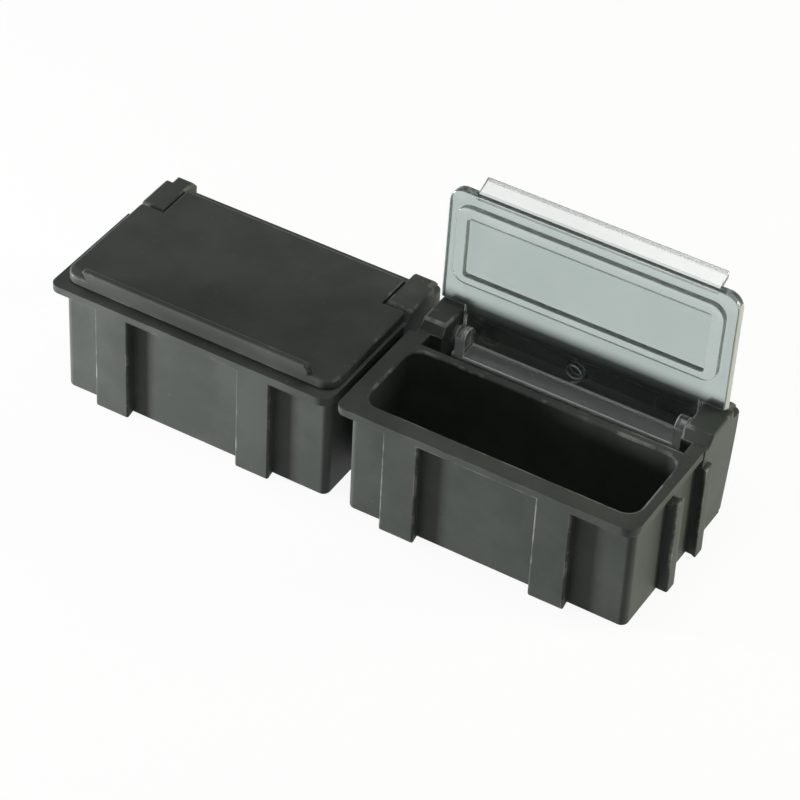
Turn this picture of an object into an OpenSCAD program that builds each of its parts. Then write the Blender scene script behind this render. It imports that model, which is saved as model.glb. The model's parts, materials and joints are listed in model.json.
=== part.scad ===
// Two snap-lid boxes for small electronic parts, linked side by side: the left one shut, the right one open
// Sizes in millimetres. Inside a box, x runs from its middle, y from the rim's front face, z from the table

/* [Compartment] */
// Width of the compartment
cavity_w = 37.2; // [30:0.2:60]
// Depth of the compartment, front to back
cavity_d = 12; // [10:0.5:30]
// Height of the compartment
cavity_h = 15.5; // [12:0.5:30]
// Radius of the compartment's upright corners
cavity_r = 2; // [1:0.25:4]
// Thickness of the compartment's floor
floor_t = 1.25; // [0.8:0.05:2.5]

/* [Walls] */
// Thickness of the side walls
side_wall = 0.9; // [0.7:0.05:2]
// Thickness of the front wall
front_wall = 1.25; // [0.8:0.05:2.5]
// Thickness of the wall between the compartment and the hinge well
mid_wall = 1.3; // [0.8:0.05:2.5]
// Thickness of the rear wall
rear_wall = 1.55; // [1.4:0.05:3]
// Radius of the body's upright corners
body_r = 1; // [0.5:0.1:2]

/* [Rim] */
// Height of the rim's edge
rim_h = 1.25; // [0.8:0.05:2.5]
// How far the rim stands out at the front
rim_front = 1.45; // [1:0.05:2.5]
// How far the rim stands out at the left
rim_left = 1.4; // [0.8:0.05:2.5]
// How far the rim stands out at the right
rim_right = 0.65; // [0.4:0.05:1.5]
// Radius of the rim's front corners
rim_r = 2; // [1:0.25:3]
// Radius of its front left corner
rim_left_r = 1.2; // [0.5:0.1:2]
// Distance of the rim's end before the hinge axis
rim_end = 4.2; // [3.6:0.1:5]

/* [Links] */
// Gap between the rims of two linked boxes
link_gap = 0.95; // [0.8:0.05:2]
// Clearance between the rails and the next box's rim
rail_clear = 0.15; // [0.05:0.05:0.3]
// Clearance between the side rib and the next box's rim
rib_clear = 0.1; // [0.05:0.05:0.3]
// Clearance between the flanks of rib and channel
flank_clear = 0.12; // [0.05:0.01:0.2]
// Width of a front rib over its face
rib_w = 5; // [3:0.1:8]
// How much narrower each flank of a front rib is at the wall
rib_undercut = 0.2; // [0.1:0.05:0.4]
// Width of the side rib's neck
neck_w = 4.96; // [3:0.02:7]
// How much wider the side rib's head is than its neck, on each flank
rib_hook = 0.42; // [0.3:0.02:0.6]
// Thickness of a rail
rail_t = 2.1; // [1.2:0.1:3]
// Height of the side rib and of the rails above the table
rail_h = 14.3; // [8:0.1:15]
// Shift of the link features from the middle of the box
link_shift = -1.15; // [-2:0.05:2]
// Distance of the side link's middle from the front face
side_link_y = 14.25; // [10:0.05:20]

/* [Hinge] */
// Distance of the hinge axis behind the hinge well's front
hinge_in = 5.6; // [5:0.1:8]
// Depth of the hinge axis below the rim
hinge_drop = 1.25; // [1.2:0.05:2]
// Radius of a hinge pin
pin_r = 1; // [0.7:0.05:1.2]
// How deep a hinge pin sits in its ear
pin_l = 1.8; // [1:0.1:2.2]
// Radial clearance of a pin in its bore
pin_clear = 0.06; // [0.02:0.01:0.1]
// Width of a hinge ear at its foot
ear_w = 2.9; // [2.6:0.1:4]
// Height of an ear above the rim
ear_h = 1.35; // [1:0.05:2]
// Distance of an ear's upper front edge before the hinge axis
ear_front = 2.4; // [1.8:0.1:3]
// How far the left ear flares out from the body's wall, at its top
flare_left = 0.5; // [0.1:0.05:1]
// How far the right ear flares out from the body's wall, at its top
flare_right = 0.95; // [0.1:0.05:1.2]
// Height above the table at which the ears begin to flare out
flare_z = 3; // [1:0.5:8]
// Radius of the ears' upright rear corners
ear_r = 1.2; // [0.5:0.1:2]
// Bevel on an ear's upper rear edge, front to back
ear_bevel_d = 1; // [0.2:0.1:1.4]
// Bevel on an ear's upper rear edge, top to bottom
ear_bevel_h = 1.1; // [0.2:0.1:1.2]
// Width of the step at an ear's outer rear corner
step_w = 0.9; // [0.4:0.1:1.4]
// Depth of that step from the rear face
step_d = 2.2; // [1.2:0.1:3]
// Clearance between the swinging lid and the ears
ear_clear = 0.2; // [0.15:0.05:0.4]
// Side clearance between the lid and the ears
ear_side_clear = 0.2; // [0.1:0.05:0.4]
// Clearance around the lid's tail in the hinge well
tail_clear = 0.17; // [0.1:0.01:0.5]
// Thickness of the hinge well's floor
well_floor = 1.2; // [0.8:0.1:2]
// Depth of the rear wall's edge below the rim, between the ears
rear_drop = 0.75; // [0.5:0.05:1]
// Width of the moulding window before an ear
window_w = 1.6; // [1:0.1:1.8]
// Depth of the moulding window below the rim
window_h = 4; // [2:0.5:5]
// Ledge between the moulding window and the ear's foot
window_gap = 0.2; // [0.1:0.05:0.6]

/* [Lid] */
// Thickness of the lid's plate
lid_t = 1.4; // [1:0.05:2]
// Gap between the rim and the shut lid
lid_gap = 0.05; // [0.02:0.01:0.2]
// Distance of the lid's front edge behind the rim's front face
lid_front = 1.5; // [0.8:0.1:2.5]
// How far the lid stands out past the body's side walls
lid_side = 0.25; // [0:0.05:0.6]
// Radius of the lid's front corners
lid_r = 2; // [1:0.25:3]
// Depth of the raised frame that sits in the compartment
frame_h = 0.8; // [0.4:0.1:1.5]
// Clearance of the frame in the compartment
frame_clear = 0.3; // [0.2:0.05:0.5]
// Width of the frame at its front and sides
frame_w = 1.7; // [1:0.1:3]
// Width of the frame at its rear
frame_back = 1.25; // [0.8:0.05:3]
// Corner radius inside the frame
frame_r = 0.4; // [0.2:0.1:1.5]
// Length of the grip lip
lip_l = 32.9; // [20:0.1:50]
// Height of the grip lip above the lid
lip_h = 2; // [1:0.1:3]
// Thickness of the grip lip
lip_t = 1.1; // [0.6:0.1:2]
// How far the lip leans forward
lip_lean = 0.9; // [0:0.1:1.4]
// Reach of the lid's tail behind the hinge axis
tail_reach = 2.9; // [2.4:0.1:3.5]
// Bevel on the tail's upper rear edge, front to back
tail_bevel_d = 0.4; // [0.2:0.05:0.8]
// Bevel on the tail's upper rear edge, top to bottom
tail_bevel_h = 0.8; // [0.4:0.05:1.2]
// Depth of the skirt under the lid's tail
skirt_h = 2.6; // [2.4:0.05:3.2]
// Thickness of the rear skirt
skirt_t = 0.65; // [0.5:0.05:1]
// Thickness of the arms that carry the hinge pins
arm_t = 1.4; // [1:0.1:2]
// How far the arms stay in from the tail's sides
arm_in = 0.4; // [0:0.1:1]
// How far the right lid stands open, in degrees
open_angle = 92; // [80:1:95]

/* [Spring] */
// Diameter of the spring's wire
wire_d = 0.24; // [0.2:0.01:0.26]
// Outer diameter of the spring
spring_d = 2.5; // [2:0.1:2.8]
// Turns of the spring
spring_turns = 2.25; // [1.5:0.25:2.25]
// Gap between the spring's ends and what they press on
spring_seat = 0.05; // [0.02:0.01:0.1]
// Radius of a spring socket in the rear wall
socket_r = 1.5; // [1.45:0.05:1.6]
// Depth of a spring socket
socket_d = 1.05; // [0.9:0.05:1.1]
// Distance between the spring sockets
socket_pitch = 12.5; // [8:0.5:13]
// Shift of the middle socket from the middle of the box
socket_shift = -1.15; // [-2:0.05:2]
// Depth of the sockets' axis below the hinge axis
socket_drop = 1.3; // [1.1:0.05:1.5]

/* [Hidden] */
$fn = 64;
// Small overlap that makes joined or cut solids meet
eps = 0.1;
body_w = cavity_w + 2 * side_wall;
half_w = body_w / 2;
rim_z = floor_t + cavity_h;
box_pitch = body_w + rim_left + rim_right + link_gap;
cavity_y0 = rim_front + front_wall;
cavity_y1 = cavity_y0 + cavity_d;
well_y0 = cavity_y1 + mid_wall;
hinge_y = well_y0 + hinge_in;
hinge_z = rim_z - hinge_drop;
ear_x = half_w - ear_w;
ear_z = rim_z + ear_h;
lid_z0 = rim_z + lid_gap;
lid_z1 = lid_z0 + lid_t;
tail_y = hinge_y + tail_reach;
lid_up = lid_z1 - hinge_z;
lid_low = lid_z0 - hinge_z;
// Largest radius that the lid's tail sweeps about the hinge
sweep_bevel = sqrt(pow(tail_reach - tail_bevel_d, 2) + pow(lid_up, 2));
sweep_edge = sqrt(pow(tail_reach, 2) + pow(lid_up - tail_bevel_h, 2));
sweep_skirt = sqrt(pow(tail_reach, 2) + pow(skirt_h - lid_low, 2));
sweep_r = max(sweep_bevel, sweep_edge, sweep_skirt);
rear_y0 = hinge_y + sweep_r + tail_clear;
rear_y1 = rear_y0 + rear_wall;
well_z = hinge_z - sweep_r - tail_clear;
rear_z = rim_z - rear_drop;
// Ears and lid pass each other on circles about the hinge
ear_sweep = sqrt(pow(ear_front, 2) + pow(ear_z - hinge_z, 2));
notch_r = ear_sweep + ear_clear;
ear_low_y = hinge_y - sqrt(pow(ear_sweep, 2) - pow(rim_z - hinge_z, 2));
rim_y = hinge_y - rim_end;
lid_half = half_w + lid_side;
notch_y0 = hinge_y - sqrt(pow(notch_r, 2) - pow(lid_low, 2));
// The open lid's notch also clears the ears' tops
notch_shut = sqrt(pow(notch_r, 2) - pow(lid_up, 2));
notch_open = (ear_z - hinge_z + ear_clear - lid_up * cos(open_angle)) / sin(open_angle);
notch_y1 = hinge_y - max(notch_shut, notch_open);
tail_x = ear_x - ear_side_clear;
arm_x = tail_x - arm_in;
skirt_z = lid_z0 - skirt_h;
hub_r = lid_low;
// The link between boxes
rail_reach = rim_right + link_gap - rail_clear;
rib_reach = rim_left + link_gap - rib_clear;
// Depth over which the side rib's head hooks behind the rails
hook_d = link_gap - rail_clear - rib_clear;
head_w = neck_w + 2 * rib_hook;
front_rib_x = [link_shift - box_pitch / 4, link_shift + box_pitch / 4];
rear_reach = rim_front;
total_d = rear_y1 + rear_reach;
// The frame's origin is the middle of the foot print, on the table
shift_x = (rib_reach - rail_reach) / 2;
left_at = [shift_x - box_pitch / 2, -total_d / 2, 0];
right_at = [shift_x + box_pitch / 2, -total_d / 2, 0];
socket_z = hinge_z - socket_drop;
socket_end = rear_y0 + socket_d;
spring_r = (spring_d - wire_d) / 2;
// Where the open lid's outer face meets the spring's axis
open_at = (socket_drop + lid_up * cos(open_angle)) / sin(open_angle);
open_face = hinge_y + open_at * cos(open_angle) + lid_up * sin(open_angle);
black = "#232625";
clear = [0.85, 0.89, 0.87, 0.6];
steel = "#b9bcbc";

// Upright block with rounded corners
module rounded_block(x0, x1, y0, y1, z0, z1, r) {
  translate([x0 + r, y0, z0]) cube([x1 - x0 - 2 * r, y1 - y0, z1 - z0]);
  translate([x0, y0 + r, z0]) cube([x1 - x0, y1 - y0 - 2 * r, z1 - z0]);
  for (x = [x0 + r, x1 - r], y = [y0 + r, y1 - r])
    translate([x, y, z0]) cylinder(h = z1 - z0, r = r);
}

// Block with plain corners
module block(x0, x1, y0, y1, z0, z1) {
  translate([x0, y0, z0]) cube([x1 - x0, y1 - y0, z1 - z0]);
}

// Outline in y and z drawn out along x
module along_x(points, x0, x1) {
  translate([x0, 0, 0]) rotate([90, 0, 90]) linear_extrude(height = x1 - x0) polygon(points);
}

// Outline in x and y drawn up from the table
module upright(points, height) {
  linear_extrude(height = height) polygon(points);
}

// Round bar along x
module bar_x(x0, x1, y, z, r) {
  translate([x0, y, z]) rotate([0, 90, 0]) cylinder(h = x1 - x0, r = r);
}

// Outline in x and z drawn back along y
module along_y(points, y0, y1) {
  translate([0, y1, 0]) rotate([90, 0, 0]) linear_extrude(height = y1 - y0) polygon(points);
}

// Rim that stands out at the front and at both sides
module rim() {
  z0 = rim_z - rim_h;
  x0 = -half_w - rim_left;
  x1 = half_w + rim_right;
  rounded_block(x0, x1, 0, rim_y, z0, rim_z, rim_r);
  rounded_block(x0, x0 + 2 * rim_r, 0, rim_y, z0, rim_z, rim_left_r);
  block(x0, x1, rim_r, rim_y, z0, rim_z);
}

// Right half of the hinge block, flaring out to its ear; the left half is its mirror with another flare
module ear_block(flare) {
  x = half_w + flare;
  outline = [
    [rim_y, 0], [rim_y, rim_z], [ear_low_y, rim_z], [hinge_y - ear_front, ear_z],
    [rear_y1 - ear_bevel_d, ear_z], [rear_y1, ear_z - ear_bevel_h], [rear_y1, 0]
  ];
  difference() {
    intersection() {
      along_x(outline, ear_x, x);
      along_y([[0, 0], [x - flare * ear_z / (ear_z - flare_z), 0], [x, ear_z], [0, ear_z]], rim_y, rear_y1);
      rounded_block(0, x, 0, rear_y1, 0, ear_z, ear_r);
    }
    block(x - step_w, x + eps, rear_y1 - step_d, rear_y1 + eps, rim_z, ear_z + eps);
  }
}

module ears() {
  ear_block(flare_right);
  mirror([1, 0, 0]) ear_block(flare_left);
}

// Dovetail ribs on the front, flush with the rim
module front_ribs() {
  for (x = front_rib_x)
    upright([
      [x - rib_w / 2, 0], [x + rib_w / 2, 0],
      [x + rib_w / 2 - rib_undercut, rim_front + eps], [x - rib_w / 2 + rib_undercut, rim_front + eps]
    ], rim_z - rim_h + eps);
}

// Hooked rib on the left, which slides in the next box's channel
module side_rib() {
  x0 = -half_w - rib_reach;
  y = side_link_y;
  upright([
    [x0, y - head_w / 2], [x0, y + head_w / 2], [x0 + hook_d, y + neck_w / 2],
    [-half_w + eps, y + neck_w / 2], [-half_w + eps, y - neck_w / 2], [x0 + hook_d, y - neck_w / 2]
  ], rail_h);
}

// Pair of rails beside a channel that narrows from the width of a rib's head to that of its neck
module rail_pair(reach, slope_d, head, neck) {
  inner = head / 2 + flank_clear;
  mouth = neck / 2 + flank_clear;
  for (s = [-1, 1])
    upright([
      [s * inner, -eps], [s * inner, reach - slope_d], [s * mouth, reach],
      [s * (mouth + rail_t), reach], [s * (mouth + rail_t), -eps]
    ], rail_h);
}

module side_rails() {
  translate([half_w, side_link_y, 0]) rotate([0, 0, -90]) rail_pair(rail_reach, hook_d, head_w, neck_w);
}

module rear_rails() {
  for (x = front_rib_x)
    translate([x, rear_y1, 0]) rail_pair(rear_reach, rear_reach, rib_w, rib_w - 2 * rib_undercut);
}

// Space for the lid's tail behind the compartment
module hinge_well() {
  block(-ear_x, ear_x, well_y0, rear_y0, well_z, ear_z + eps);
  block(-ear_x, ear_x, rear_y0 - eps, rear_y1 + eps, rear_z, ear_z + eps);
  for (s = [-1, 1]) {
    x = s > 0 ? ear_x - eps : -ear_x - window_w;
    block(x, x + window_w + eps, well_y0, ear_low_y - window_gap, rim_z - window_h, rim_z + eps);
  }
}

// Blind bores in the ears for the lid's pins
module hinge_bores() {
  depth = pin_l + ear_side_clear;
  bar_x(ear_x - eps, ear_x + depth, hinge_y, hinge_z, pin_r + pin_clear);
  bar_x(-ear_x - depth, -ear_x + eps, hinge_y, hinge_z, pin_r + pin_clear);
}

// Round sockets in the rear wall, the middle one for the spring
module spring_sockets() {
  for (n = [-1, 0, 1])
    translate([socket_shift + n * socket_pitch, rear_y0 - eps, socket_z]) rotate([-90, 0, 0])
      cylinder(h = socket_d + eps, r = socket_r);
}

// Hollow under the hinge well, open to the table
module under_hollow() {
  block(-ear_x - eps, ear_x + eps, well_y0, rear_y0, -eps, well_z - well_floor);
}

module box_body() {
  difference() {
    union() {
      rounded_block(-half_w, half_w, rim_front, rear_y1, 0, rim_z, body_r);
      rim();
      ears();
      front_ribs();
      side_rib();
      side_rails();
      rear_rails();
    }
    rounded_block(-cavity_w / 2, cavity_w / 2, cavity_y0, cavity_y1, floor_t, rim_z + eps, cavity_r);
    hinge_well();
    hinge_bores();
    spring_sockets();
    under_hollow();
  }
}

// Raised frame under the lid that drops into the compartment
module lid_frame() {
  x = cavity_w / 2 - frame_clear;
  y0 = cavity_y0 + frame_clear;
  y1 = cavity_y1 - frame_clear;
  z0 = lid_z0 - frame_h;
  difference() {
    rounded_block(-x, x, y0, y1, z0, lid_z0 + eps, cavity_r);
    rounded_block(-x + frame_w, x - frame_w, y0 + frame_w, y1 - frame_back,
      z0 - eps, lid_z0 + 2 * eps, frame_r);
  }
}

// Lid as it lies when shut
module box_lid() {
  rounded_block(-lid_half, lid_half, lid_front, notch_y0, lid_z0, lid_z1, lid_r);
  along_x([
    [lid_front + lid_r, lid_z0], [notch_y0, lid_z0], [notch_y1, lid_z1], [lid_front + lid_r, lid_z1]
  ], -lid_half, lid_half);
  along_x([
    [notch_y0 - eps, lid_z0], [tail_y - skirt_t, lid_z0], [tail_y - skirt_t, skirt_z], [tail_y, skirt_z],
    [tail_y, lid_z1 - tail_bevel_h], [tail_y - tail_bevel_d, lid_z1], [notch_y0 - eps, lid_z1]
  ], -tail_x, tail_x);
  lid_frame();
  along_x([
    [lid_front, lid_z1 - eps], [lid_front, lid_z1],
    [lid_front - lip_lean, lid_z1 + lip_h], [lid_front - lip_lean + lip_t, lid_z1 + lip_h],
    [lid_front + lip_t, lid_z1], [lid_front + lip_t, lid_z1 - eps]
  ], -lip_l / 2, lip_l / 2);
  for (s = [-1, 1]) {
    x = s > 0 ? arm_x - arm_t : -arm_x;
    block(x, x + arm_t, hinge_y, tail_y - eps, skirt_z, lid_z0 + eps);
    bar_x(x, x + arm_t, hinge_y, hinge_z, hub_r);
    pin_x0 = s > 0 ? arm_x - eps : -ear_x - pin_l;
    pin_x1 = s > 0 ? ear_x + pin_l : -arm_x + eps;
    bar_x(pin_x0, pin_x1, hinge_y, hinge_z, pin_r);
  }
}

// Wire of the spring as one tube, wound about y from its seat to the face it presses
curl_rings = 8;
wire_sides = 6;
function coil_at(a, y0, y1) =
  [spring_r * cos(a), y0 + (y1 - y0) * a / (360 * spring_turns), spring_r * sin(a)];
function coil_way(a, y0, y1) =
  let (d = [-sin(a) * spring_r, (y1 - y0) / (2 * PI * spring_turns), cos(a) * spring_r]) d / norm(d);
function coil_out(a) = [cos(a), 0, sin(a)];
function coil_angles() =
  let (n = round(curl_rings * spring_turns)) [for (i = [0:n]) 360 * spring_turns * i / n];
function coil_ring(centre, out, way) =
  let (side = cross(way, out), step = 360 / wire_sides)
  [for (k = [0:wire_sides - 1]) centre + wire_d / 2 * (out * cos(step * k) + side * sin(step * k))];
// One ring at an angle, moved straight on along the wire by some length
function ring_at(a, y0, y1, on) =
  let (way = coil_way(a, y0, y1)) coil_ring(coil_at(a, y0, y1) + on * way, coil_out(a), way);
function coil_rings(y0, y1) =
  let (angles = coil_angles()) concat(
    [ring_at(0, y0, y1, -wire_d)],
    [for (a = angles) ring_at(a, y0, y1, 0)],
    [ring_at(angles[len(angles) - 1], y0, y1, wire_d)]
  );
function flat(rings) = [for (ring = rings) for (p = ring) p];
function tube_faces(n) = concat(
  [for (k = [1:wire_sides - 2]) [0, k, k + 1]],
  [for (i = [0:n - 2]) for (k = [0:wire_sides - 1])
    let (a = i * wire_sides + k, b = i * wire_sides + (k + 1) % wire_sides)
    each [[a, a + wire_sides, b], [b, a + wire_sides, b + wire_sides]]],
  [for (k = [1:wire_sides - 2]) let (e = (n - 1) * wire_sides) [e, e + k + 1, e + k]]
);
// Least gap between turns, from points of rings at least half a curl apart
function least_gap(rings) = min([
  for (i = [0:len(rings) - 1]) for (j = [i + curl_rings / 2:1:len(rings) - 1])
    for (p = rings[i]) for (q = rings[j]) norm(p - q)
]);

module coil(face, label) {
  y0 = socket_end - spring_seat - wire_d / 2;
  y1 = face + spring_seat + wire_d / 2;
  rings = coil_rings(y0, y1);
  echo(label, least_gap_mm = least_gap(rings));
  translate([socket_shift, 0, socket_z]) polyhedron(points = flat(rings), faces = tube_faces(len(rings)));
}

module tray_left() { color(black) translate(left_at) box_body(); }
module tray_right() { color(black) translate(right_at) box_body(); }
module lid_left() { color(black) translate(left_at) box_lid(); }
module lid_right() {
  color(clear) translate(right_at) translate([0, hinge_y, hinge_z]) rotate([-open_angle, 0, 0])
    translate([0, -hinge_y, -hinge_z]) box_lid();
}
module spring_left() { color(steel) translate(left_at) coil(tail_y, "spring_left"); }
module spring_right() { color(steel) translate(right_at) coil(open_face, "spring_right"); }

tray_left();
lid_left();
spring_left();
tray_right();
lid_right();
spring_right();
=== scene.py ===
"""Two linked snap-lid boxes: black trays, a black lid shut, a clear lid open and two wire springs."""

import json
import math

import bmesh
import bpy
from mathutils import Matrix, Vector, kdtree


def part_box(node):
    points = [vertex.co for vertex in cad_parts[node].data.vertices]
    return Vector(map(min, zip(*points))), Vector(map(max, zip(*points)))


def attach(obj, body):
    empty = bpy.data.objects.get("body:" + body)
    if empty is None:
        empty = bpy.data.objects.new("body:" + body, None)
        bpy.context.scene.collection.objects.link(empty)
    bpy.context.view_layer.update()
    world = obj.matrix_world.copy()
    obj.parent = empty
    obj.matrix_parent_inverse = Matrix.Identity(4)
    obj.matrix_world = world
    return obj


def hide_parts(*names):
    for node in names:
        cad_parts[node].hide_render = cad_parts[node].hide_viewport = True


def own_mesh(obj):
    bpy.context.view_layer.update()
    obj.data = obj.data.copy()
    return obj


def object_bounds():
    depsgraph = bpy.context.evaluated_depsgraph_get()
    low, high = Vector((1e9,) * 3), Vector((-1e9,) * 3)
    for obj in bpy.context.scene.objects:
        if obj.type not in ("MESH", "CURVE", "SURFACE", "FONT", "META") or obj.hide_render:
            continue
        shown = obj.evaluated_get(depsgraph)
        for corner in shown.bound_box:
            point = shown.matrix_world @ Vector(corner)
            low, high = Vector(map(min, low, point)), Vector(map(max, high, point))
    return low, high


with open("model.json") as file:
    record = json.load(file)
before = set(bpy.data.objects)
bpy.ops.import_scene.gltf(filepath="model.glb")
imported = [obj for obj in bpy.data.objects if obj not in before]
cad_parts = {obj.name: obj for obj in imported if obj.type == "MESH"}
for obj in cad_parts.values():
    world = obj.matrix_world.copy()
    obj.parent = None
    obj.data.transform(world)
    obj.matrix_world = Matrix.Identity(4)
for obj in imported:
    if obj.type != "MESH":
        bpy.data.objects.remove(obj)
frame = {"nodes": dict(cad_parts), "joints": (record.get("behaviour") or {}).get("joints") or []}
cad_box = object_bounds()
floor_level = cad_box[0][2]

MM = 0.001

# Rounding: what counts as one edge or run, the room it takes, and how it is eased where it folds over
MERGE = 0.002 * MM
SHARP = math.radians(32)
BEND = math.radians(40)
CREASE = math.radians(42)
BLACK_ROUND = 0.35 * MM
CLEAR_ROUND = 0.18 * MM
ROUND_STEPS = 3
SPOT_STEP = 0.25 * MM
ROOM_REACH = 1.2 * MM
ROOM_SHARE = 0.4
EASE_ROUNDS = 3
EASE_REACH = 0.4 * MM
EASE_SHARE = 0.7
FOLD = -0.35
PULLED = 0.85
FLAT_WEIGHT = 90

# The clear lid's parts, by depth from the hinge towards the outer side and height above the hinge
LID_OPEN = 92.0
FRAME_CREST = 0.5 * MM
PLATE_IN = 1.3 * MM
PLATE_OUT = 2.7 * MM
TAIL_TOP = 1.0 * MM
EDGE_TOP = 2.4 * MM
SIDE_IN = 0.4 * MM
TOP_EDGE = 1.02
END_FACING = 0.9
WALL_STEEP = 0.8
WINDOW_IN = 1.0 * MM
ZONE_STEP = 0.06 * MM

# The clear lid's tints, from 0 for the deeper tone to 1 for the paler one
DEEP_CLEAR = (0.445, 0.525, 0.503, 1.0)
PALE_CLEAR = (0.96, 0.975, 0.965, 1.0)
# The edge and end tints colour the mostly diffuse edge material, so the clear lid's rounded edges show as
# pale lines: painted highlight.
EDGE_HIGHLIGHT_TINT = 0.95
END_TINT = 0.3
TAIL_TINT = 0.8
LIP_TINT = 0.95
PLATE_TINT = 0.12
ARM_TINT = 0.85
CREST_TINT = 0.25
BORDER_TINT = 0.22
TINT_SWING = 0.03

# The clear lid's haze: a frosted band above the hinge, darkened with painted shade, the raised frame's walls,
# and scratches
BAND = (16.4 * MM, 17.2 * MM, 18.55 * MM, 20.6 * MM)
# Near-black tone of the frosted band: painted shade.
BAND_PAINTED_SHADE = (0.0025, 0.003, 0.0028, 1.0)
WALL_HAZE = 0.52
SCRATCH_HAZE = 0.03
CLEAR_IOR = 1.5

# Black plastic
DUST_TONE = (0.3, 0.3, 0.28, 1.0)
# Pale tones of the spots on rounded edges: partly wear, partly painted highlight on the edges.
TRAY_WEAR_AND_HIGHLIGHT = (0.3, 0.31, 0.29, 1.0)
LID_WEAR_AND_HIGHLIGHT = (0.26, 0.265, 0.25, 1.0)
TRAY_GLOSS = (0.42, 0.52)
LID_GLOSS = (0.38, 0.46)
GRAIN_GLOSS = 0.05

# Depth of the surface relief
GRAIN_DEPTH = 0.02 * MM
SCRATCH_DEPTH = 0.01 * MM
SCRATCH_RELIEF = 0.1

# The springs' wire
WIRE_R = 0.12 * MM
WIRE_TURNS = 2.25
WIRE_STEPS = 40
WIRE_SIDES = 14

# Studio levels
FLOOR_HALF = 6.0
FLOOR_LIT = (0.75, 0.75, 0.75, 1.0)
FLOOR_SHADE = (0.14, 0.14, 0.14, 1.0)
FLOOR_GLOW = 0.92
AMBIENT = 0.06
DOME_RISE = (0.05, 0.45)
DOME_LEVEL = (1.0, 0.4)


# Node helpers


def add_node(tree, kind, label, **settings):
    """A node with a plain label and its settings."""
    node = tree.nodes.new(kind)
    node.name = label
    node.label = label
    for key, value in settings.items():
        setattr(node, key, value)
    return node


def feed(tree, target, value):
    """Links an output socket to an input, or sets the input's value."""
    if isinstance(value, bpy.types.NodeSocket):
        tree.links.new(value, target)
    else:
        target.default_value = value


def math_node(tree, label, operation, *values, clamp=False):
    """The output of a Math node fed with sockets or numbers."""
    node = add_node(tree, "ShaderNodeMath", label, operation=operation, use_clamp=clamp)
    for target, value in zip(node.inputs, values):
        feed(tree, target, value)
    return node.outputs[0]


def noise(tree, label, coords, scale, detail=2.0, roughness=0.5):
    """The factor of a Noise texture on the given coordinates."""
    node = add_node(tree, "ShaderNodeTexNoise", label)
    feed(tree, node.inputs["Vector"], coords)
    feed(tree, node.inputs["Scale"], scale)
    node.inputs["Detail"].default_value = detail
    node.inputs["Roughness"].default_value = roughness
    return node.outputs["Fac"]


def remap(tree, label, value, low, high, to_low=0.0, to_high=1.0, smooth=False):
    """A value from one range brought to another, clamped."""
    node = add_node(tree, "ShaderNodeMapRange", label)
    node.clamp = True
    if smooth:
        node.interpolation_type = "SMOOTHSTEP"
    feed(tree, node.inputs["Value"], value)
    feed(tree, node.inputs["From Min"], low)
    feed(tree, node.inputs["From Max"], high)
    feed(tree, node.inputs["To Min"], to_low)
    feed(tree, node.inputs["To Max"], to_high)
    return node.outputs["Result"]


def colour_mix(tree, label, factor, first, second):
    """A colour between two others."""
    node = add_node(tree, "ShaderNodeMix", label, data_type="RGBA")
    feed(tree, node.inputs[0], factor)
    feed(tree, node.inputs[6], first)
    feed(tree, node.inputs[7], second)
    return node.outputs[2]


def group_shell(name, inputs, outputs):
    """An empty shader group with named float inputs and outputs."""
    tree = bpy.data.node_groups.new(name, "ShaderNodeTree")
    for label, default in inputs:
        socket = tree.interface.new_socket(label, in_out="INPUT", socket_type="NodeSocketFloat")
        socket.default_value = default
    for label in outputs:
        tree.interface.new_socket(label, in_out="OUTPUT", socket_type="NodeSocketFloat")
    return tree, add_node(tree, "NodeGroupInput", "in"), add_node(tree, "NodeGroupOutput", "out")


def place_group(tree, group, label, **values):
    """A group in a material, with its own values."""
    node = add_node(tree, "ShaderNodeGroup", label, node_tree=group)
    for key, value in values.items():
        feed(tree, node.inputs[key.replace("_", " ")], value)
    return node


# Shared surface effects


def make_moulded_grain():
    """Fine spark texture of a mould, and the cloudy patches of its plastic."""
    tree, source, sink = group_shell(
        "moulded_grain",
        [("Grain scale", 5000.0), ("Cloud scale", 130.0)],
        ["Height", "Grain", "Cloud"],
    )
    coords = add_node(tree, "ShaderNodeTexCoord", "place").outputs["Object"]
    fine = noise(tree, "fine grain", coords, source.outputs["Grain scale"], 3.0, 0.6)
    coarser, coarse_share = 0.23, 0.6
    scale = math_node(tree, "coarser scale", "MULTIPLY", source.outputs["Grain scale"], coarser)
    coarse = noise(tree, "coarse grain", coords, scale, 2.0, 0.5)
    both = math_node(tree, "both grains", "MULTIPLY_ADD", coarse, coarse_share, fine)
    cloud = noise(tree, "cloud", coords, source.outputs["Cloud scale"], 4.0, 0.55)
    tree.links.new(both, sink.inputs["Height"])
    tree.links.new(remap(tree, "grain mask", fine, 0.35, 0.65), sink.inputs["Grain"])
    tree.links.new(remap(tree, "cloud mask", cloud, 0.33, 0.67, smooth=True), sink.inputs["Cloud"])
    return tree


def make_edge_wear_and_highlight():
    """Pale spots along the rounded edges, by the mesh's own edge attribute: partly wear, partly painted
    highlight.
    """
    tree, source, sink = group_shell(
        "edge_wear_and_highlight", [("Patch scale", 260.0), ("Amount", 0.5)], ["Rub"]
    )
    coords = add_node(tree, "ShaderNodeTexCoord", "place").outputs["Object"]
    edge = add_node(tree, "ShaderNodeAttribute", "edge", attribute_name="edge").outputs["Fac"]
    patches = noise(tree, "patches", coords, source.outputs["Patch scale"], 4.0, 0.65)
    rarest, reach, softness = 0.78, 0.5, 0.14
    span = math_node(tree, "span", "MULTIPLY", source.outputs["Amount"], reach)
    start = math_node(tree, "start", "SUBTRACT", rarest, span)
    end = math_node(tree, "end", "ADD", start, softness)
    spots = remap(tree, "spots", patches, start, end)
    tree.links.new(math_node(tree, "wear_and_highlight", "MULTIPLY", spots, edge), sink.inputs["Rub"])
    return tree


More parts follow.
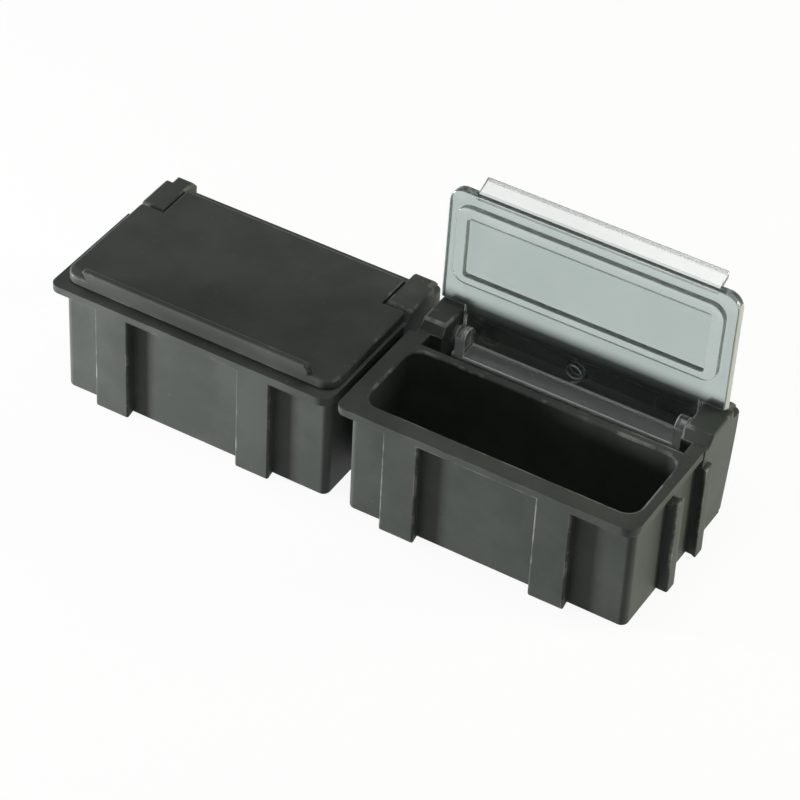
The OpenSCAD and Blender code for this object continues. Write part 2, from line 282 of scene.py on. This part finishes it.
def make_fine_dust():
    """Sparse pale specks, thickest on faces that look up."""
    tree, source, sink = group_shell("fine_dust", [("Speck scale", 900.0), ("Amount", 0.3)], ["Dust"])
    coords = add_node(tree, "ShaderNodeTexCoord", "place").outputs["Object"]
    cells = add_node(tree, "ShaderNodeTexVoronoi", "specks")
    cells.inputs["Randomness"].default_value = 1.0
    tree.links.new(coords, cells.inputs["Vector"])
    tree.links.new(source.outputs["Speck scale"], cells.inputs["Scale"])
    lot = add_node(tree, "ShaderNodeSeparateColor", "lot")
    tree.links.new(cells.outputs["Color"], lot.inputs["Color"])
    rarity, largest = 0.8, 0.22
    size = remap(tree, "speck size", lot.outputs["Red"], rarity, 1.0, 0.0, largest)
    inside = math_node(tree, "inside", "LESS_THAN", cells.outputs["Distance"], size)
    up = add_node(tree, "ShaderNodeNewGeometry", "facing").outputs["Normal"]
    parts = add_node(tree, "ShaderNodeSeparateXYZ", "facing parts")
    tree.links.new(up, parts.inputs["Vector"])
    rise = remap(tree, "rise", parts.outputs["Z"], -0.2, 0.9, 0.35, 1.0)
    amount = math_node(tree, "amount", "MULTIPLY", inside, source.outputs["Amount"])
    tree.links.new(math_node(tree, "dust", "MULTIPLY", amount, rise), sink.inputs["Dust"])
    return tree


def make_hair_scratches():
    """Fine handling scratches in two directions."""
    tree, source, sink = group_shell(
        "hair_scratches", [("Line scale", 700.0), ("Amount", 0.5)], ["Scratch"]
    )
    scale = source.outputs["Line scale"]
    coords = add_node(tree, "ShaderNodeTexCoord", "place").outputs["Object"]
    lines = []
    for label, turn, stretch in (
        ("first", (0.2, 0.5, 0.4), (1.0, 0.03, 0.03)),
        ("second", (1.1, -0.3, 1.3), (0.03, 1.0, 0.03)),
    ):
        way = add_node(tree, "ShaderNodeMapping", label + " way")
        way.inputs["Rotation"].default_value = turn
        way.inputs["Scale"].default_value = stretch
        tree.links.new(coords, way.inputs["Vector"])
        field = noise(tree, label + " field", way.outputs["Vector"], scale, 3.0, 0.7)
        lines.append(remap(tree, label + " lines", field, 0.66, 0.72))
    either = math_node(tree, "either", "MAXIMUM", lines[0], lines[1])
    scratch = math_node(tree, "scratch", "MULTIPLY", either, source.outputs["Amount"])
    tree.links.new(scratch, sink.inputs["Scratch"])
    return tree


moulded_grain = make_moulded_grain()
edge_wear_and_highlight = make_edge_wear_and_highlight()
fine_dust = make_fine_dust()
hair_scratches = make_hair_scratches()


# Materials


def new_material(name):
    """A material with an empty Principled shader."""
    material = bpy.data.materials.new(name)
    material.use_nodes = True
    tree = material.node_tree
    tree.nodes.clear()
    shader = add_node(tree, "ShaderNodeBsdfPrincipled", "plastic")
    output = add_node(tree, "ShaderNodeOutputMaterial", "output")
    tree.links.new(shader.outputs["BSDF"], output.inputs["Surface"])
    return material, tree, shader


def black_plastic(name, deep, pale, wear_and_highlight_tone, gloss, shine, grain_scale, bump, wear_and_highlight_amount, dust_amount):
    """Moulded black plastic: cloudy tone, spark grain, pale spots on rounded edges that are partly wear and
    partly painted highlight, and a little dust.
    """
    material, tree, shader = new_material(name)
    grain = place_group(tree, moulded_grain, "grain", Grain_scale=grain_scale)
    wear_and_highlight = place_group(tree, edge_wear_and_highlight, "wear_and_highlight", Amount=wear_and_highlight_amount)
    dust = place_group(tree, fine_dust, "dust", Amount=dust_amount)
    tone = colour_mix(tree, "cloudy tone", grain.outputs["Cloud"], deep, pale)
    # Pale spots on the rounded edges: partly wear, partly painted highlight.
    tone = colour_mix(tree, "worn and highlighted tone", wear_and_highlight.outputs["Rub"], tone, wear_and_highlight_tone)
    tone = colour_mix(tree, "dusty tone", dust.outputs["Dust"], tone, DUST_TONE)
    tree.links.new(tone, shader.inputs["Base Color"])
    rough = remap(tree, "cloudy gloss", grain.outputs["Cloud"], 0.0, 1.0, gloss[0], gloss[1])
    rough = math_node(tree, "grainy gloss", "MULTIPLY_ADD", grain.outputs["Grain"], GRAIN_GLOSS, rough)
    tree.links.new(rough, shader.inputs["Roughness"])
    shader.inputs["Specular IOR Level"].default_value = shine
    relief = add_node(tree, "ShaderNodeBump", "relief")
    relief.inputs["Strength"].default_value = bump
    relief.inputs["Distance"].default_value = GRAIN_DEPTH
    tree.links.new(grain.outputs["Height"], relief.inputs["Height"])
    tree.links.new(relief.outputs["Normal"], shader.inputs["Normal"])
    return material


def clear_plastic(name, through, haze_low, haze_high):
    """Clear plastic: tinted face by face, finely scratched, with a frosted band above its hinge that painted
    shade darkens.
    """
    material, tree, shader = new_material(name)
    grain = place_group(tree, moulded_grain, "grain", Grain_scale=2500.0, Cloud_scale=90.0)
    scratch = place_group(tree, hair_scratches, "scratches", Amount=0.6)
    tint = add_node(tree, "ShaderNodeAttribute", "tint", attribute_name="tint").outputs["Fac"]
    cloudy = remap(tree, "cloudy tint", grain.outputs["Cloud"], 0.0, 1.0, -TINT_SWING, TINT_SWING)
    tint = math_node(tree, "uneven tint", "ADD", tint, cloudy, clamp=True)
    tone = colour_mix(tree, "tone", tint, DEEP_CLEAR, PALE_CLEAR)
    frost_and_shade = add_node(tree, "ShaderNodeAttribute", "frost_and_shade", attribute_name="frost_and_shade").outputs["Fac"]
    place = add_node(tree, "ShaderNodeTexCoord", "place").outputs["Object"]
    parts = add_node(tree, "ShaderNodeSeparateXYZ", "place parts")
    tree.links.new(place, parts.inputs["Vector"])
    start = remap(tree, "band start", parts.outputs["Z"], BAND[0], BAND[1], smooth=True)
    end = remap(tree, "band end", parts.outputs["Z"], BAND[2], BAND[3], 1.0, 0.0, smooth=True)
    band = math_node(tree, "band", "MULTIPLY", start, end)
    frost_and_shade = math_node(tree, "frosted and shaded part", "MULTIPLY", frost_and_shade, band)
    # The frosted band takes a near-black tone: painted shade.
    tone = colour_mix(tree, "band painted shade", frost_and_shade, tone, BAND_PAINTED_SHADE)
    tree.links.new(tone, shader.inputs["Base Color"])
    rough = remap(tree, "haze", frost_and_shade, 0.0, 1.0, haze_low, haze_high)
    walls = add_node(tree, "ShaderNodeAttribute", "frame walls", attribute_name="wall").outputs["Fac"]
    rough = math_node(tree, "wall haze", "MULTIPLY_ADD", walls, WALL_HAZE, rough)
    rough = math_node(tree, "scratched haze", "MULTIPLY_ADD", scratch.outputs["Scratch"], SCRATCH_HAZE, rough)
    tree.links.new(rough, shader.inputs["Roughness"])
    shader.inputs["IOR"].default_value = CLEAR_IOR
    shader.inputs["Transmission Weight"].default_value = through
    relief = add_node(tree, "ShaderNodeBump", "relief")
    relief.inputs["Strength"].default_value = SCRATCH_RELIEF
    relief.inputs["Distance"].default_value = SCRATCH_DEPTH
    tree.links.new(scratch.outputs["Scratch"], relief.inputs["Height"])
    tree.links.new(relief.outputs["Normal"], shader.inputs["Normal"])
    return material


def wire_steel(name):
    """Bright drawn wire with a slightly uneven polish."""
    material, tree, shader = new_material(name)
    grain = place_group(tree, moulded_grain, "drawing marks", Grain_scale=9000.0, Cloud_scale=1500.0)
    dull, bright = (0.72, 0.72, 0.7, 1.0), (0.9, 0.9, 0.88, 1.0)
    tone = colour_mix(tree, "uneven tone", grain.outputs["Cloud"], dull, bright)
    tree.links.new(tone, shader.inputs["Base Color"])
    polish = remap(tree, "polish", grain.outputs["Grain"], 0.0, 1.0, 0.16, 0.32)
    tree.links.new(polish, shader.inputs["Roughness"])
    shader.inputs["Metallic"].default_value = 1.0
    return material


# The left tray has a paler tone and the right tray a darker one, though both are the same plastic: painted
# light and shade for the left lamp's light falling off to the right.
tray_left_paler_painted_light = black_plastic(
    "tray_left_paler_painted_light", (0.095, 0.106, 0.098, 1.0), (0.125, 0.138, 0.128, 1.0), TRAY_WEAR_AND_HIGHLIGHT, TRAY_GLOSS,
    shine=0.14, grain_scale=5200.0, bump=0.35, wear_and_highlight_amount=0.5, dust_amount=0.2,
)
tray_right_darker_painted_shade = black_plastic(
    "tray_right_darker_painted_shade", (0.085, 0.096, 0.088, 1.0), (0.11, 0.123, 0.112, 1.0), TRAY_WEAR_AND_HIGHLIGHT, TRAY_GLOSS,
    shine=0.14, grain_scale=5200.0, bump=0.35, wear_and_highlight_amount=0.62, dust_amount=0.2,
)
lid_black = black_plastic(
    "lid_black", (0.082, 0.09, 0.083, 1.0), (0.105, 0.114, 0.106, 1.0), LID_WEAR_AND_HIGHLIGHT, LID_GLOSS,
    shine=0.2, grain_scale=6500.0, bump=0.25, wear_and_highlight_amount=0.4, dust_amount=0.08,
)
lid_clear = clear_plastic("lid_clear", through=0.955, haze_low=0.11, haze_high=0.4)
# Mostly diffuse and pale, so the clear lid's edges and end faces show as lit lines: painted highlight.
lid_edge_painted_highlight = clear_plastic("lid_edge_painted_highlight", through=0.1, haze_low=0.3, haze_high=0.5)
lid_tail = clear_plastic("lid_tail", through=0.84, haze_low=0.1, haze_high=0.3)
spring_steel = wire_steel("spring_steel")


# Pieces


def sharp_chains(work):
    """Groups the sharp edges of a mesh into runs that bend little from edge to edge."""
    sharp = [e for e in work.edges if len(e.link_faces) == 2 and e.calc_face_angle(0.0) > SHARP]
    chain = {e: {e} for e in sharp}
    for vert in work.verts:
        here = [e for e in vert.link_edges if e in chain]
        for first in here:
            for second in here:
                if chain[first] is chain[second]:
                    continue
                way_in = vert.co - first.other_vert(vert).co
                way_out = second.other_vert(vert).co - vert.co
                if way_in.angle(way_out, math.pi) < BEND:
                    joined = chain[first] | chain[second]
                    for edge in joined:
                        chain[edge] = joined
    return sharp, chain


def edge_room(sharp, chain):
    """The room beside each sharp edge: how far it is to the nearest edge of another run."""
    spots = []
    for edge in sharp:
        a, b = (v.co for v in edge.verts)
        steps = max(1, math.ceil((b - a).length / SPOT_STEP))
        spots += [(a.lerp(b, (n + 0.5) / steps), edge) for n in range(steps)]
    tree = spot_tree([spot for spot, edge in spots])
    room = {}
    for spot, edge in spots:
        for point, index, distance in tree.find_range(spot, ROOM_REACH):
            other = spots[index][1]
            touching = set(other.verts) & set(edge.verts)
            if chain[other] is chain[edge] or touching:
                continue
            key = id(chain[edge])
            room[key] = min(room.get(key, ROOM_REACH), distance)
    return {edge: room.get(id(chain[edge]), ROOM_REACH) for edge in sharp}


def plain_mesh(piece):
    """The mesh of a piece with its modifiers applied."""
    depsgraph = bpy.context.evaluated_depsgraph_get()
    return bpy.data.meshes.new_from_object(piece.evaluated_get(depsgraph))


def points_along(a, b):
    """Points from one end of an edge to the other."""
    steps = max(1, math.ceil((b - a).length / SPOT_STEP))
    return [a.lerp(b, n / steps) for n in range(steps + 1)]


def spot_tree(spots):
    """A search tree of points."""
    tree = kdtree.KDTree(len(spots))
    for index, spot in enumerate(spots):
        tree.insert(spot, index)
    tree.balance()
    return tree


def folded_spots(mesh):
    """Places where a mesh turns back on itself: edges whose two faces look nearly opposite ways."""
    work = bmesh.new()
    work.from_mesh(mesh)
    spots = []
    for edge in work.edges:
        if len(edge.link_faces) == 2:
            first, second = edge.link_faces
            if first.normal.dot(second.normal) < FOLD:
                spots += points_along(edge.verts[0].co, edge.verts[1].co)
    work.free()
    return spots


def ease_folds(piece):
    """Rounds a run of edges less, a few times over, where its rounding folds and the CAD mesh does not."""
    mesh = piece.data
    own = spot_tree(folded_spots(mesh))
    weight = mesh.attributes["bevel_weight_edge"].data
    runs = mesh.attributes["run"].data
    for attempt in range(EASE_ROUNDS):
        tried = plain_mesh(piece)
        spots = [spot for spot in folded_spots(tried) if not own.find_range(spot, EASE_REACH)]
        bpy.data.meshes.remove(tried)
        if not spots:
            break
        folds = spot_tree(spots)
        tight = set()
        for edge in mesh.edges:
            if weight[edge.index].value > 0.0 and runs[edge.index].value not in tight:
                a, b = (mesh.vertices[v].co for v in edge.vertices)
                if any(folds.find_range(point, EASE_REACH) for point in points_along(a, b)):
                    tight.add(runs[edge.index].value)
        for edge in mesh.edges:
            if runs[edge.index].value in tight:
                weight[edge.index].value *= EASE_SHARE
        mesh.update()


def true_normals(mesh):
    """Gives a face's own normal back to each corner that smoothing has pulled too far from it."""
    normals = [corner.vector.copy() for corner in mesh.corner_normals]
    for face in mesh.polygons:
        for loop in face.loop_indices:
            if normals[loop].dot(face.normal) < PULLED:
                normals[loop] = face.normal.copy()
    mesh.normals_split_custom_set(normals)


def moulded_piece(name, node, material, round_over, edge_material=None):
    """A merged copy of a CAD node, its outer edges rounded as their room allows and marked for wear and
    painted edge highlight.
    """
    work = bmesh.new()
    work.from_mesh(frame["nodes"][node].data)
    bmesh.ops.remove_doubles(work, verts=work.verts, dist=MERGE)
    weight = work.edges.layers.float.new("bevel_weight_edge")
    run = work.edges.layers.int.new("run")
    sharp, chain = sharp_chains(work)
    room = edge_room(sharp, chain)
    numbers = {}
    for edge in sharp:
        edge[run] = numbers.setdefault(id(chain[edge]), len(numbers) + 1)
        if edge.is_convex:
            edge[weight] = min(1.0, ROOM_SHARE * room[edge] / round_over)
    mesh = bpy.data.meshes.new(name + "_sharp")
    work.to_mesh(mesh)
    work.free()
    for layer in ("custom_normal", "sharp_face", "sharp_edge"):
        if layer in mesh.attributes:
            mesh.attributes.remove(mesh.attributes[layer])
    mesh.shade_smooth()
    mesh.materials.clear()
    mesh.materials.append(material)
    mesh.materials.append(edge_material or material)
    for face in mesh.polygons:
        face.material_index = 0
    piece = bpy.data.objects.new(name, mesh)
    bpy.context.scene.collection.objects.link(piece)
    rounding = piece.modifiers.new("rounded edges", "BEVEL")
    rounding.width = round_over
    rounding.segments = ROUND_STEPS
    rounding.limit_method = "WEIGHT"
    rounding.use_clamp_overlap = False
    rounding.loop_slide = False
    rounding.miter_outer = "MITER_ARC"
    rounding.material = 1
    ease_folds(piece)
    piece.data = plain_mesh(piece)
    piece.modifiers.clear()
    piece.data.set_sharp_from_angle(angle=CREASE)
    shading = piece.modifiers.new("flat faces stay flat", "WEIGHTED_NORMAL")
    shading.mode = "FACE_AREA"
    shading.weight = FLAT_WEIGHT
    shading.keep_sharp = True
    piece.data = done = plain_mesh(piece)
    piece.modifiers.clear()
    done.name = name
    true_normals(done)
    mark_faces(done, "edge", lambda face: float(face.material_index))
    if edge_material is None:
        for face in done.polygons:
            face.material_index = 0
        done.materials.pop(index=1)
    return piece


def mark_faces(mesh, label, rule):
    """Stores a value for each face of a mesh, which its materials read by the label."""
    layer = mesh.attributes.new(label, "FLOAT", "FACE")
    for face in mesh.polygons:
        layer.data[face.index].value = rule(face)


def clear_lid_zones(mesh):
    """Gives the clear lid's parts their materials, and marks its faces for tint, frost with its painted
    shade, and wall haze.
    """
    hinge = Vector(next(j["pos_m"] for j in frame["joints"] if j["name"] == "right_lid_hinge"))
    turn = math.radians(LID_OPEN)
    up = Vector((0.0, -math.cos(turn), math.sin(turn)))
    out = Vector((0.0, math.sin(turn), math.cos(turn)))
    centers = [face.center for face in mesh.polygons]
    crest = [p for p in centers if abs((p - hinge) @ out - FRAME_CREST) < ZONE_STEP]
    window_x = [min(p.x for p in crest) + WINDOW_IN, max(p.x for p in crest) - WINDOW_IN]
    window_u = [f((p - hinge) @ up for p in crest) for f in (min, max)]

    def place(face):
        """Height of a face above the hinge, and its depth from the hinge towards the outer side."""
        return (face.center - hinge) @ up, (face.center - hinge) @ out

    def tint(face):
        """How pale a face is, by the part it belongs to."""
        height, depth = place(face)
        if face.material_index == 1:
            # Edge faces take the pale tone of the painted highlight.
            return EDGE_HIGHLIGHT_TINT if height < EDGE_TOP else END_TINT
        if height < TAIL_TOP:
            return TAIL_TINT
        if depth > PLATE_OUT + ZONE_STEP:
            return LIP_TINT
        if depth > PLATE_OUT - ZONE_STEP:
            return PLATE_TINT
        if depth < PLATE_IN - ZONE_STEP:
            return ARM_TINT if height < EDGE_TOP else CREST_TINT
        inside = window_x[0] < face.center.x < window_x[1]
        inside = inside and window_u[0] + WINDOW_IN < height < window_u[1] - WINDOW_IN
        return PLATE_TINT if inside else BORDER_TINT

    def frost_and_shade(face):
        """1 on the plate's outer face, where the frost and its painted shade go."""
        return 1.0 if abs(place(face)[1] - PLATE_OUT) < ZONE_STEP else 0.0

    def wall(face):
        """1 on the steep walls of the raised frame."""
        height, depth = place(face)
        steep = abs(face.normal @ out) < WALL_STEEP
        return 1.0 if steep and height > EDGE_TOP and FRAME_CREST < depth < PLATE_IN else 0.0

    mesh.materials.append(lid_tail)
    skirt_end = min(place(face)[1] for face in mesh.polygons)
    ends = [f(vert.co.x for vert in mesh.vertices) for f in (min, max)]
    for face in mesh.polygons:
        height, depth = place(face)
        side = min(face.center.x - ends[0], ends[1] - face.center.x) < SIDE_IN
        low = height < EDGE_TOP and depth < PLATE_OUT + ZONE_STEP
        if depth < skirt_end + ZONE_STEP:
            face.material_index = 1
        elif not (low or side and height < TOP_EDGE * window_u[1]):
            face.material_index = 0
        elif side and height > TAIL_TOP and abs(face.normal.x) > END_FACING:
            face.material_index = 1
        elif face.material_index == 0 and height < TAIL_TOP and depth < PLATE_IN:
            face.material_index = 2
    mark_faces(mesh, "tint", tint)
    mark_faces(mesh, "frost_and_shade", frost_and_shade)
    mark_faces(mesh, "wall", wall)


def make_wound_wire():
    """Geometry nodes that wind a round wire about the y axis, from its seat towards -y."""
    tree = bpy.data.node_groups.new("wound_wire", "GeometryNodeTree")
    tree.interface.new_socket("Geometry", in_out="OUTPUT", socket_type="NodeSocketGeometry")
    ids = {}
    for label, kind in (
        ("Seat", "NodeSocketVector"),
        ("Length", "NodeSocketFloat"),
        ("Coil radius", "NodeSocketFloat"),
        ("Wire radius", "NodeSocketFloat"),
        ("Turns", "NodeSocketFloat"),
        ("Steps per turn", "NodeSocketInt"),
        ("Wire sides", "NodeSocketInt"),
        ("Finish", "NodeSocketMaterial"),
    ):
        ids[label] = tree.interface.new_socket(label, in_out="INPUT", socket_type=kind).identifier
    source = add_node(tree, "NodeGroupInput", "in")
    sink = add_node(tree, "NodeGroupOutput", "out")
    path = add_node(tree, "GeometryNodeCurveSpiral", "coil path")
    for target, label in (
        ("Resolution", "Steps per turn"),
        ("Rotations", "Turns"),
        ("Start Radius", "Coil radius"),
        ("End Radius", "Coil radius"),
        ("Height", "Length"),
    ):
        tree.links.new(source.outputs[label], path.inputs[target])
    outline = add_node(tree, "GeometryNodeCurvePrimitiveCircle", "wire outline")
    tree.links.new(source.outputs["Wire sides"], outline.inputs["Resolution"])
    tree.links.new(source.outputs["Wire radius"], outline.inputs["Radius"])
    tube = add_node(tree, "GeometryNodeCurveToMesh", "wire")
    tube.inputs["Fill Caps"].default_value = True
    tree.links.new(path.outputs["Curve"], tube.inputs["Curve"])
    tree.links.new(outline.outputs["Curve"], tube.inputs["Profile Curve"])
    seat = add_node(tree, "GeometryNodeTransform", "on its seat")
    seat.inputs["Rotation"].default_value = (math.radians(90), 0.0, 0.0)
    tree.links.new(source.outputs["Seat"], seat.inputs["Translation"])
    tree.links.new(tube.outputs["Mesh"], seat.inputs["Geometry"])
    plain = add_node(tree, "GeometryNodeRealizeInstances", "plain mesh")
    tree.links.new(seat.outputs["Geometry"], plain.inputs["Geometry"])
    smooth = add_node(tree, "GeometryNodeSetShadeSmooth", "smooth")
    tree.links.new(plain.outputs["Geometry"], smooth.inputs["Geometry"])
    finish = add_node(tree, "GeometryNodeSetMaterial", "finish")
    tree.links.new(smooth.outputs["Geometry"], finish.inputs["Geometry"])
    tree.links.new(source.outputs["Finish"], finish.inputs["Material"])
    tree.links.new(finish.outputs["Geometry"], sink.inputs["Geometry"])
    return tree, ids


wound_wire, wire_inputs = make_wound_wire()


def wire_spring(name, node):
    """The spring of a CAD node, wound as a round wire in the node's own box."""
    low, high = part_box(node)
    outer_r = (high.x - low.x) / 2
    seat = Vector(((low.x + high.x) / 2, high.y - WIRE_R, low.z + outer_r))
    piece = bpy.data.objects.new(name, bpy.data.meshes.new(name + "_start"))
    bpy.context.scene.collection.objects.link(piece)
    winding = piece.modifiers.new("winding", "NODES")
    winding.node_group = wound_wire
    for label, value in (
        ("Seat", tuple(seat)),
        ("Length", high.y - low.y - 2 * WIRE_R),
        ("Coil radius", outer_r - WIRE_R),
        ("Wire radius", WIRE_R),
        ("Turns", WIRE_TURNS),
        ("Steps per turn", WIRE_STEPS),
        ("Wire sides", WIRE_SIDES),
        ("Finish", spring_steel),
    ):
        winding[wire_inputs[label]] = value
    piece.data = plain_mesh(piece)
    piece.modifiers.clear()
    piece.data.name = name
    return piece


def settle(piece, node, body):
    """A finished piece rides on its body in place of its CAD node."""
    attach(piece, body)
    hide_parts(node)


left_tray = moulded_piece("moulded_tray_left", "tray_left", tray_left_paler_painted_light, BLACK_ROUND)
settle(left_tray, "tray_left", "left_box")
right_tray = moulded_piece("moulded_tray_right", "tray_right", tray_right_darker_painted_shade, BLACK_ROUND)
settle(right_tray, "tray_right", "right_box")
black_lid = moulded_piece("moulded_lid_left", "lid_left", lid_black, BLACK_ROUND)
settle(black_lid, "lid_left", "left_lid")
clear_lid = moulded_piece("moulded_lid_right", "lid_right", lid_clear, CLEAR_ROUND, edge_material=lid_edge_painted_highlight)
clear_lid_zones(clear_lid.data)
settle(clear_lid, "lid_right", "right_lid")

settle(wire_spring("wire_spring_left", "spring_left"), "spring_left", "left_box")
right_spring = wire_spring("wire_spring_right", "spring_right")
settle(right_spring, "spring_right", "right_box")
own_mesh(right_spring)


# Studio


def set_camera():
    """The photograph's viewing angle."""
    lens = bpy.data.cameras.new("camera")
    lens.sensor_width = 36.0
    lens.lens = 153.86
    lens.clip_start = 0.01
    lens.clip_end = 20.0
    camera = bpy.data.objects.new("camera", lens)
    right = Vector((0.85517, 0.5167, 0.04134))
    up = Vector((-0.36239, 0.53893, 0.76041))
    back = Vector((0.37063, -0.66526, 0.64813))
    turn = Matrix((right, up, back)).transposed().to_4x4()
    camera.matrix_world = Matrix.Translation((0.15927, -0.283145, 0.2839)) @ turn
    bpy.context.scene.collection.objects.link(camera)
    bpy.context.scene.camera = camera


def soft_light(name, place, target, size, watts, colour=(1.0, 1.0, 1.0)):
    """A square soft box that looks at a point."""
    lamp = bpy.data.lights.new(name, "AREA")
    lamp.size = size
    lamp.energy = watts
    lamp.color = colour
    holder = bpy.data.objects.new(name, lamp)
    way = Vector(target) - Vector(place)
    holder.matrix_world = Matrix.Translation(place) @ way.to_track_quat("-Z", "Y").to_matrix().to_4x4()
    bpy.context.scene.collection.objects.link(holder)


def seen_rays(tree):
    """The camera ray mask, and the mask of camera, glossy and transmission rays together."""
    rays = add_node(tree, "ShaderNodeLightPath", "rays").outputs
    seen = math_node(tree, "camera or gloss", "MAXIMUM", rays["Is Camera Ray"], rays["Is Glossy Ray"])
    return rays["Is Camera Ray"], math_node(tree, "or glass", "MAXIMUM", seen, rays["Is Transmission Ray"])


def set_floor():
    """A plain white floor that keeps a faint shadow."""
    mesh = bpy.data.meshes.new("floor")
    corners = ((-1, -1), (1, -1), (1, 1), (-1, 1))
    mesh.from_pydata([(x * FLOOR_HALF, y * FLOOR_HALF, floor_level) for x, y in corners], [], [(0, 1, 2, 3)])
    floor = bpy.data.objects.new("floor", mesh)
    bpy.context.scene.collection.objects.link(floor)
    material = bpy.data.materials.new("white_floor")
    material.use_nodes = True
    tree = material.node_tree
    tree.nodes.clear()
    output = add_node(tree, "ShaderNodeOutputMaterial", "output")
    lit = add_node(tree, "ShaderNodeBsdfDiffuse", "lit floor")
    lit.inputs["Color"].default_value = FLOOR_LIT
    shade = add_node(tree, "ShaderNodeBsdfDiffuse", "shadow catch")
    shade.inputs["Color"].default_value = FLOOR_SHADE
    glow = add_node(tree, "ShaderNodeEmission", "white")
    glow.inputs["Strength"].default_value = FLOOR_GLOW
    seen = add_node(tree, "ShaderNodeAddShader", "seen floor")
    tree.links.new(shade.outputs[0], seen.inputs[0])
    tree.links.new(glow.outputs[0], seen.inputs[1])
    choose = add_node(tree, "ShaderNodeMixShader", "choose")
    tree.links.new(seen_rays(tree)[1], choose.inputs[0])
    tree.links.new(lit.outputs[0], choose.inputs[1])
    tree.links.new(seen.outputs[0], choose.inputs[2])
    tree.links.new(choose.outputs[0], output.inputs["Surface"])
    mesh.materials.append(material)


def set_world():
    """White at the horizon for what is seen, dimmer overhead, and a low even light for surfaces."""
    world = bpy.data.worlds.new("studio")
    bpy.context.scene.world = world
    world.use_nodes = True
    tree = world.node_tree
    tree.nodes.clear()
    output = add_node(tree, "ShaderNodeOutputWorld", "output")
    sky = add_node(tree, "ShaderNodeBackground", "studio")
    camera_ray, seen = seen_rays(tree)
    place = add_node(tree, "ShaderNodeTexCoord", "way")
    parts = add_node(tree, "ShaderNodeSeparateXYZ", "way parts")
    tree.links.new(place.outputs["Generated"], parts.inputs["Vector"])
    dome = remap(tree, "dome", parts.outputs["Z"], *DOME_RISE, *DOME_LEVEL, smooth=True)
    dome = math_node(tree, "camera white", "MAXIMUM", dome, camera_ray)
    level = remap(tree, "level", seen, 0.0, 1.0, AMBIENT, dome)
    tree.links.new(level, sky.inputs["Strength"])
    tree.links.new(sky.outputs[0], output.inputs["Surface"])


set_camera()
set_floor()
set_world()
middle = (0.0, 0.0, 0.012)
soft_light("front_left_soft_box", (-0.22, -0.115, 0.022), middle, 0.045, 0.82)
soft_light("right_soft_box", (0.3, 0.17, 0.09), middle, 0.14, 0.64, (1.0, 0.985, 0.74))
soft_light("overhead_soft_box", (0.0, -0.03, 0.4), middle, 0.2, 0.34)
bpy.context.scene.view_settings.view_transform = "Standard"
